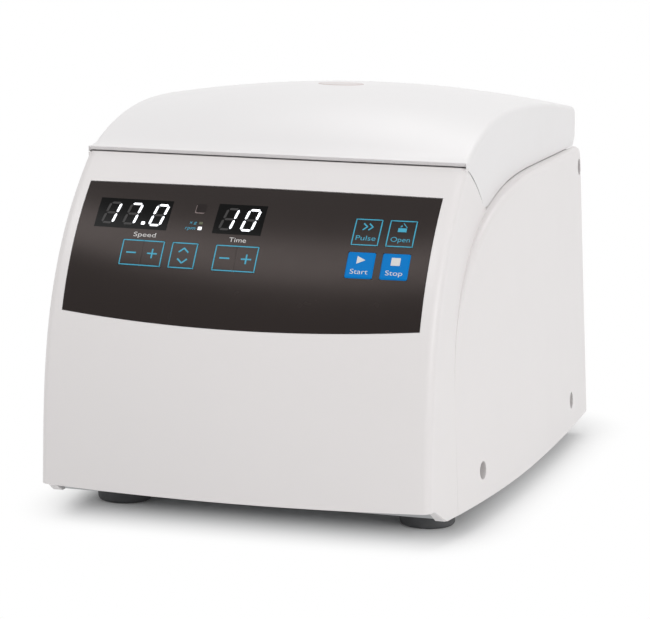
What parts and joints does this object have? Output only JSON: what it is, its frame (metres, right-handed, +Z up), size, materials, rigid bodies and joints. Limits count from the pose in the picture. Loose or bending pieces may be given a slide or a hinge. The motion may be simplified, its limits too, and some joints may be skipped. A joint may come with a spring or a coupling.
{
  "type": "benchtop microcentrifuge",
  "caption": "Benchtop microcentrifuge with a domed lid hinged at the rear, a reclining bowed front with display and keys, arched cheeks, and a chamber with a fixed-angle rotor.",
  "frame": {"origin": "centre of the footprint, at the underside of the feet", "axes": "+X to the right as seen from the front, -Y towards the front with the panel, +Z up"},
  "size_m": [0.2426, 0.352, 0.225],
  "materials": {
    "white_moulding": "satin moulded plastic",
    "grey_liner": "satin moulded plastic",
    "steel": "brushed",
    "anodised_alloy": "anodised",
    "black_rubber": "matte",
    "dark_film": "satin film",
    "key_film": "satin film",
    "blue_key": "satin film",
    "clear_window": "clear",
    "circuit_board": "laminate",
    "display_block": "glossy",
    "wound_parts": "varnished",
    "black_moulding": "satin moulded plastic",
    "rotor_lid_plastic": "tinted"
  },
  "bodies": {
    "housing": {"housing": "white_moulding", "keypad_overlay": "dark_film", "speed_display": "display_block", "time_display": "display_block", "control_board": "circuit_board", "hinge_bracket_left": "steel", "hinge_pin_left": "steel", "hinge_bracket_right": "steel", "hinge_pin_right": "steel", "latch_frame": "steel", "latch_pin": "steel", "latch_solenoid": "wound_parts", "chamber_bowl": "steel", "motor_housing": "anodised_alloy", "motor_plate": "steel", "motor_mount_1": "black_rubber", "motor_mount_2": "black_rubber", "motor_mount_3": "black_rubber", "base_plate": "steel", "release_plug": "black_rubber", "foot_front_left": "black_rubber", "foot_front_right": "black_rubber", "foot_rear_left": "black_rubber", "foot_rear_right": "black_rubber", "side_screw_front_left": "steel", "side_screw_rear_left": "steel", "side_screw_top_left": "steel", "side_screw_front_right": "steel", "side_screw_rear_right": "steel", "side_screw_top_right": "steel", "rear_panel": "steel", "inlet_socket": "black_moulding", "switch_frame": "black_moulding", "fuse_holder": "black_moulding", "power_board": "circuit_board", "transformer": "wound_parts", "capacitor_front": "black_moulding", "capacitor_rear": "black_moulding"},
    "lid": {"lid_shell": "white_moulding", "sight_port_window": "clear_window", "lid_liner": "grey_liner", "lid_gasket": "black_rubber", "lid_striker": "steel"},
    "rotor": {"motor_shaft": "steel", "rotor_body": "anodised_alloy", "rotor_nut": "steel", "rotor_lid": "rotor_lid_plastic"},
    "rotor_lid_knob": {"rotor_lid_knob": "black_moulding"},
    "latch_hook": {"latch_hook": "steel"},
    "power_rocker": {"power_rocker": "black_moulding"},
    "fuse_drawer": {"fuse_drawer": "black_moulding"},
    "key_speed_minus": {"key_speed_minus": "key_film"},
    "key_speed_plus": {"key_speed_plus": "key_film"},
    "key_unit": {"key_unit": "key_film"},
    "key_time_minus": {"key_time_minus": "key_film"},
    "key_time_plus": {"key_time_plus": "key_film"},
    "key_pulse": {"key_pulse": "key_film"},
    "key_open": {"key_open": "key_film"},
    "key_start": {"key_start": "blue_key"},
    "key_stop": {"key_stop": "blue_key"}
  },
  "joints": [
    {"name": "lid_hinge", "type": "hinge", "parent": "housing", "child": "lid", "pos_m": [0, 0.166, 0.184], "axis": [-1, 0, 0], "range_deg": [0, 75]},
    {"name": "rotor_spin", "type": "hinge", "parent": "housing", "child": "rotor", "pos_m": [0, 0.0241, 0.136], "axis": [0, 0, 1], "continuous": true},
    {"name": "rotor_lid_knob_turn", "type": "hinge", "parent": "rotor", "child": "rotor_lid_knob", "pos_m": [0, 0.0241, 0.142], "axis": [0, 0, 1], "continuous": true},
    {"name": "latch_pivot", "type": "hinge", "parent": "housing", "child": "latch_hook", "pos_m": [0, -0.097, 0.146], "axis": [-1, 0, 0], "range_deg": [0, 25], "stiffness_Nm_per_rad": 0.05, "springref_deg": -11.46},
    {"name": "power_rocker_tilt", "type": "hinge", "parent": "housing", "child": "power_rocker", "pos_m": [-0.018, 0.17208, 0.042], "axis": [1, 0, 0], "range_deg": [0, 18]},
    {"name": "fuse_drawer_slide", "type": "slide", "parent": "housing", "child": "fuse_drawer", "axis": [0, 1, 0], "range_m": [0, 0.014]},
    {"name": "key_speed_minus_press", "type": "slide", "parent": "housing", "child": "key_speed_minus", "axis": [0.0478, 0.8315, -0.5535], "range_m": [0, 0.0005], "stiffness_N_per_m": 1000, "springref_m": -0.0005},
    {"name": "key_speed_plus_press", "type": "slide", "parent": "housing", "child": "key_speed_plus", "axis": [0.0386, 0.8276, -0.5601], "range_m": [0, 0.0005], "stiffness_N_per_m": 1000, "springref_m": -0.0005},
    {"name": "key_unit_press", "type": "slide", "parent": "housing", "child": "key_unit", "axis": [0.0254, 0.8233, -0.5671], "range_m": [0, 0.0005], "stiffness_N_per_m": 1000, "springref_m": -0.0005},
    {"name": "key_time_minus_press", "type": "slide", "parent": "housing", "child": "key_time_minus", "axis": [0.0081, 0.8203, -0.5719], "range_m": [0, 0.0005], "stiffness_N_per_m": 1000, "springref_m": -0.0005},
    {"name": "key_time_plus_press", "type": "slide", "parent": "housing", "child": "key_time_plus", "axis": [-0.0007, 0.8199, -0.5725], "range_m": [0, 0.0005], "stiffness_N_per_m": 1000, "springref_m": -0.0005},
    {"name": "key_pulse_press", "type": "slide", "parent": "housing", "child": "key_pulse", "axis": [-0.0299, 0.7558, -0.6541], "range_m": [0, 0.0005], "stiffness_N_per_m": 1000, "springref_m": -0.0005},
    {"name": "key_open_press", "type": "slide", "parent": "housing", "child": "key_open", "axis": [-0.0392, 0.7646, -0.6434], "range_m": [0, 0.0005], "stiffness_N_per_m": 1000, "springref_m": -0.0005},
    {"name": "key_start_press", "type": "slide", "parent": "housing", "child": "key_start", "axis": [-0.0469, 0.8311, -0.5542], "range_m": [0, 0.0005], "stiffness_N_per_m": 1000, "springref_m": -0.0005},
    {"name": "key_stop_press", "type": "slide", "parent": "housing", "child": "key_stop", "axis": [-0.0612, 0.8385, -0.5414], "range_m": [0, 0.0005], "stiffness_N_per_m": 1000, "springref_m": -0.0005}
  ]
}
